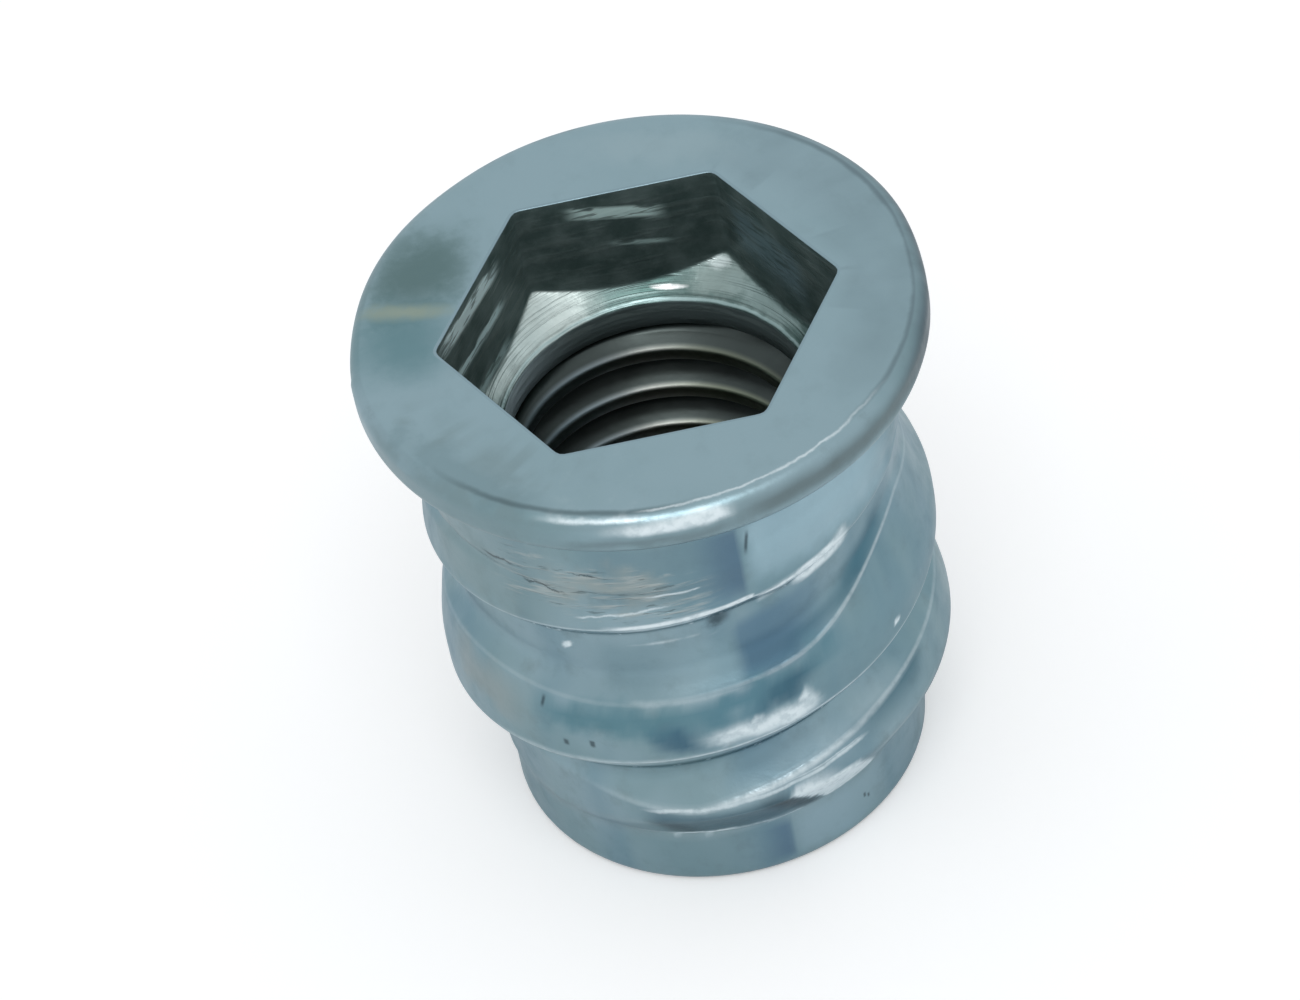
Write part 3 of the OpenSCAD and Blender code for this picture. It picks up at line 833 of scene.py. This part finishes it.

# Light and dark places on the plate, most of them painted reflections and painted shade, the beige
# ones the plate's own tone: from and to bearing, the softness of each, low and high height, their
# softness, rise and slant, and unevenness. A colour and a strength follow.
SHADES = (
    # collar
    ((-114, -78, 5, 0.8, 10.3, 12.2, 0.25, 0, 0, 0.1), (0.20, 0.31, 0.36), 0.7),
    ((-85, -78, 6, 0.8, 10.1, 12.2, 0.3, 0, 0, 0.04), (0.10, 0.18, 0.27), 0.7),
    ((-76, -34, 2, 10, 10.4, 12.2, 0.3, 0, 0, 0.2), (0.45, 0.63, 0.71), 0.65),
    ((-124, -99, 10, 10, 10.5, 11.2, 0.35, -0.01, 0, 0.9), (0.40, 0.43, 0.40), 0.6),
    ((-165, -122, 5, 12, 9.3, 12.4, 0.4, 0, 0, 0.6), (0.27, 0.36, 0.37), 0.5),
    # upper groove
    ((-82, -62, 1.5, 12, 7.5, 9.1, 0.25, 0.015, 0, 0.1), (0.12, 0.23, 0.33), 0.7),
    ((-84, -38, 4, 6, 7.9, 8.1, 0.2, 0.032, 0, 0.2), (0.06, 0.16, 0.22), 0.6),
    ((-52, -33, 8, 4, 8.6, 9.2, 0.3, 0.05, 0, 0.1), (0.05, 0.16, 0.22), 0.75),
    ((-118, -98, 5, 12, 7.2, 8.7, 0.3, 0.008, 0, 0.2), (0.21, 0.33, 0.38), 0.6),
    ((-97, -84, 8, 1.5, 7.3, 8.5, 0.3, 0.008, 0, 0.1), (0.38, 0.55, 0.61), 0.35),
    ((-82, -66, 2, 6, 7.5, 8.3, 0.25, 0.015, 0, 0.1), (0.09, 0.18, 0.26), 0.6),
    # face of the middle turn
    ((-132, -92, 7, 12, 6.2, 6.95, 0.25, 0.006, 0, 0.5), (0.12, 0.26, 0.31), 0.85),
    ((-104, -96, 5, 5, 5.7, 6.4, 0.2, 0, 4, 0.3), (0.05, 0.14, 0.21), 0.9),
    ((-96, -58, 8, 10, 6.75, 7.3, 0.2, 0.02, 0, 0.5), (0.11, 0.25, 0.31), 0.8),
    ((-79, -68, 5, 5, 6.6, 7.15, 0.2, 0.02, 0, 0.5), (0.05, 0.13, 0.19), 0.7),
    ((-165, -140, 5, 8, 5.6, 6.8, 0.3, 0, 0, 0.6), (0.36, 0.40, 0.39), 0.6),
    ((-60, -36, 10, 10, 5.3, 7.6, 0.5, 0.03, 0, 0.5), (0.20, 0.33, 0.39), 0.6),
    # lower groove, cone below the lowest turn, and pilot
    ((-88, -68, 5, 10, 4.0, 4.75, 0.2, 0.012, 0, 0.2), (0.15, 0.26, 0.33), 0.45),
    ((-58, -33, 8, 4, 4.25, 4.5, 0.12, 0.015, 0, 0.05), (0.05, 0.15, 0.20), 0.75),
    ((-109, -73, 5, 2, 1.95, 3.3, 0.15, 0.005, 8, 0.05), (0.10, 0.19, 0.24), 0.8),
    ((-110, -103, 4, 4, 1.95, 2.8, 0.2, 0, 6, 0.1), (0.03, 0.06, 0.08), 0.8),
    ((-79, -72.5, 4, 1.5, 1.9, 3.25, 0.2, 0, 8, 0), (0.015, 0.035, 0.05), 0.9),
    ((-82, -58, 3, 3, 3.45, 3.58, 0.06, 0.012, 0, 0), (0.05, 0.10, 0.13), 0.7),
    ((-116, -77, 5, 1, 0.3, 1.65, 0.15, 0, 0, 0.2), (0.22, 0.34, 0.40), 0.2),
    ((-83, -77, 5, 1, 0.35, 1.6, 0.2, 0, 0, 0.04), (0.11, 0.20, 0.30), 0.7),
    ((-75, -50, 2, 12, 0.3, 1.6, 0.2, 0, 0, 0.1), (0.38, 0.52, 0.59), 0.5),
    # rim and its underside
    ((-78, -15, 8, 12, 13.4, 13.85, 0.16, 0, 0, 0.05), (0.14, 0.18, 0.185), 0.75),
    ((-30, 60, 14, 12, 13.2, 14.0, 0.2, 0, 0, 0.05), (0.06, 0.09, 0.11), 0.8),
    ((-75, 0, 8, 12, 12.45, 12.95, 0.1, 0, 0, 0.05), (0.11, 0.16, 0.19), 0.65),
    ((-118, -76, 8, 8, 12.45, 12.95, 0.1, 0, 0, 0.1), (0.18, 0.26, 0.29), 0.6),
    ((-112, -80, 8, 6, 13.3, 13.55, 0.12, 0, 0, 0.2), (0.18, 0.24, 0.26), 0.65),
    ((-165, -118, 5, 12, 13.0, 14.0, 0.2, 0, 0, 0.8), (0.24, 0.33, 0.35), 0.55),
)
# Bright places, most of them painted highlights and painted reflections, some wear and burrs: as
# above, with a strength only.
GLINTS_AND_RUBS = (
    # rim
    ((-103, -80, 9, 4, 13.66, 13.98, 0.14, 0, 0, 0.12), 0.9),
    # lower edge of the top turn
    ((-111, -77, 8, 1, 9.68, 9.86, 0.06, 0.010, 0, 0.04), 1.0),
    ((-76, -50, 1, 2, 9.98, 10.10, 0.06, 0.018, 0, 0.04), 0.9),
    ((-113, -87, 6, 2, 9.3, 9.8, 0.1, 0.014, 0, 0.03), 0.65),
    ((-76, -65, 1, 1, 9.45, 10.05, 0.1, 0.015, 0, 0.03), 0.45),
    ((-66, -49, 3, 4, 9.45, 10.12, 0.16, 0.016, 3, 0.03), 1.0),
    # face of the middle turn
    ((-93, -67, 8, 5, 5.82, 6.35, 0.24, 0.004, 0, 0.2), 0.8),
    ((-83, -80, 2, 2, 6.35, 6.55, 0.1, 0, 0, 0.2), 0.8),
    ((-72, -69, 2, 2, 6.3, 6.6, 0.1, 0, 0, 0.2), 0.8),
    ((-150, -60, 10, 6, 4.85, 5.5, 0.12, 0.0114, 0, 0.04), 0.4),
    ((-113, -80, 8, 8, 7.05, 7.25, 0.1, 0.006, 0, 0.05), 0.35),
    # the cone and the corner below the lowest turn
    ((-72, -54, 1.5, 3, 1.8, 3.4, 0.1, 0, 8, 0), 1.0),
    ((-109, -91, 2, 1, 1.74, 1.86, 0.05, 0, 0, 0.15), 0.8),
    ((-88, -72, 2, 2, 1.76, 1.86, 0.05, 0, 0, 0.15), 0.6),
    # burrs
    ((-109, -84, 3, 3, 8.76, 8.84, 0.05, 0.008, 0, 0.1), 0.5),
    ((-127, -124, 1, 1, 8.3, 8.5, 0.06, 0.05, 0, 0.1), 0.9),
    ((-43, -41, 0.8, 0.8, 6.5, 6.65, 0.08, 0, 0, 0), 1.0),
    ((-36, -34, 0.8, 0.8, 5.3, 5.45, 0.08, 0, 0, 0), 1.0),
    ((-30, -28, 0.8, 0.8, 6.9, 7.0, 0.08, 0, 0, 0), 1.0),
)


def ease(value, place, soft):
    """Rises from 0 to 1 about a place."""
    level = min(1, max(0, (value - place + soft) / (2 * soft)))
    return level * level * (3 - 2 * level)


def cover(place, bearing, level, uneven):
    """How far a patch covers a point, from 0 to 1."""
    start, end, start_soft, end_soft, low, high, soft, rise, slant, rag = place
    level += uneven * rag - (bearing - (start + end) / 2) * rise
    bearing += slant * (level - (low + high) / 2) + uneven * rag * 8
    return (ease(bearing, start, start_soft) * (1 - ease(bearing, end, end_soft))
            * ease(level, low, soft) * (1 - ease(level, high, soft)))


SOCKET_AND_BORE_R = 4.7     # inside this radius there are no such places
insert.data.attributes.new("painted_light", "FLOAT_COLOR", "POINT")
insert.data.attributes.new("glint_and_rub", "FLOAT", "POINT")
painted_lights, glints_and_rubs = (insert.data.attributes[label].data for label in ("painted_light", "glint_and_rub"))
for corner in insert.data.vertices:
    x, y, z = corner.co / MM
    painted_lights[corner.index].color = (0, 0, 0, 0)
    if math.hypot(x, y) < SOCKET_AND_BORE_R:
        continue
    bearing = math.degrees(math.atan2(y, x))
    uneven = noise.fractal(Vector((x, y, z)) * 1.6, 1.0, 2.0, 3) * 0.6
    painted_light, alpha = Vector((0, 0, 0)), 0
    for place, shade, strength in SHADES:
        part = cover(place, bearing, z, uneven) * strength
        if part:
            painted_light = painted_light * (1 - part) + Vector(shade) * part
            alpha += part * (1 - alpha)
    painted_lights[corner.index].color = (*painted_light, alpha)
    glints_and_rubs[corner.index].value = max(
        cover(place, bearing, z, uneven) * strength for place, strength in GLINTS_AND_RUBS)

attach(insert, "root")
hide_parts("insert_body")

# ---------------------------------------------------------------------------------------------
# Floor: a plain pale sheet that the insert stands on, wide enough to fill the view. It glows a
# little to the camera only, so that it looks as white as the room round it.
# ---------------------------------------------------------------------------------------------
deselect_all()
bpy.ops.mesh.primitive_plane_add(size=1.2, location=(0, 0, 0))
floor = bpy.context.object
floor.name = "floor"
paper = bpy.data.materials.new("pale_floor")
paper.use_nodes = True
tree = paper.node_tree
shader = tree.nodes["Principled BSDF"]
shader.inputs["Roughness"].default_value = 0.9
shader.inputs["Base Color"].default_value = (0.86, 0.87, 0.88, 1)
seen = tree.nodes.new("ShaderNodeLightPath").outputs["Is Camera Ray"]
glow = mix_colour(tree, seen, (0, 0, 0), (0.295, 0.28, 0.27))
tree.links.new(glow, shader.inputs["Emission Color"])
shader.inputs["Emission Strength"].default_value = 1
floor.data.materials.append(paper)
floor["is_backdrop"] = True

# ---------------------------------------------------------------------------------------------
# Light: an even pale room, which looks white to the camera, and a broad soft lamp above and in
# front.
# ---------------------------------------------------------------------------------------------
scene = bpy.context.scene
scene.view_settings.view_transform = "Standard"
world = bpy.data.worlds.new("studio")
scene.world = world
world.use_nodes = True
tree = world.node_tree
seen = tree.nodes.new("ShaderNodeLightPath").outputs["Is Camera Ray"]
sky = tree.nodes["Background"].inputs
tree.links.new(mix_colour(tree, seen, (0.741, 0.764, 0.78), (1, 1, 1)), sky["Color"])


def add_lamp(name, place, aim, width, depth, watts):
    light = bpy.data.lights.new(name, "AREA")
    light.shape, light.size, light.size_y, light.energy = "RECTANGLE", width, depth, watts
    lamp = bpy.data.objects.new(name, light)
    scene.collection.objects.link(lamp)
    lamp.location = place
    lamp.rotation_euler = (Vector(place) - Vector(aim)).to_track_quat("Z", "Y").to_euler()


add_lamp("overhead", (0.0, -0.16, 0.3), (0, 0, 0.007), 0.14, 0.14, 0.2)

# ---------------------------------------------------------------------------------------------
# Camera: a long lens that looks down on the flange at about 45 degrees, turned a little
# anticlockwise.
# ---------------------------------------------------------------------------------------------
ROLL, ELEVATION, AZIMUTH = math.radians(-11.9), math.radians(45.13), math.radians(-0.36)
SIDEWAYS, UPWARDS, DISTANCE = -0.045, -0.641, 25    # in flange radii, from the flange's centre
SENSOR_MM, FOCAL_MM = 36, 204.646

lens = bpy.data.cameras.new("camera")
lens.sensor_width = SENSOR_MM
lens.lens = FOCAL_MM
lens.clip_start = 0.01
camera = bpy.data.objects.new("camera", lens)
scene.collection.objects.link(camera)
stand = Matrix(((1, 0, 0), (0, 0, -1), (0, 1, 0)))
look = (Matrix.Rotation(ROLL, 3, "Z") @ Matrix.Rotation(ELEVATION, 3, "X") @ stand
        @ Matrix.Rotation(AZIMUTH, 3, "Z"))
place = look.transposed() @ Vector((SIDEWAYS, UPWARDS, DISTANCE)) * -FLANGE_R * MM
place.z += TOTAL_H * MM
axes = look.transposed() @ Matrix(((1, 0, 0), (0, -1, 0), (0, 0, -1)))
camera.matrix_world = Matrix.Translation(place) @ axes.to_4x4()
scene.camera = camera

size = {"cad": [list(corner) for corner in cad_box]}
size["visual"] = [list(corner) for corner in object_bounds()]
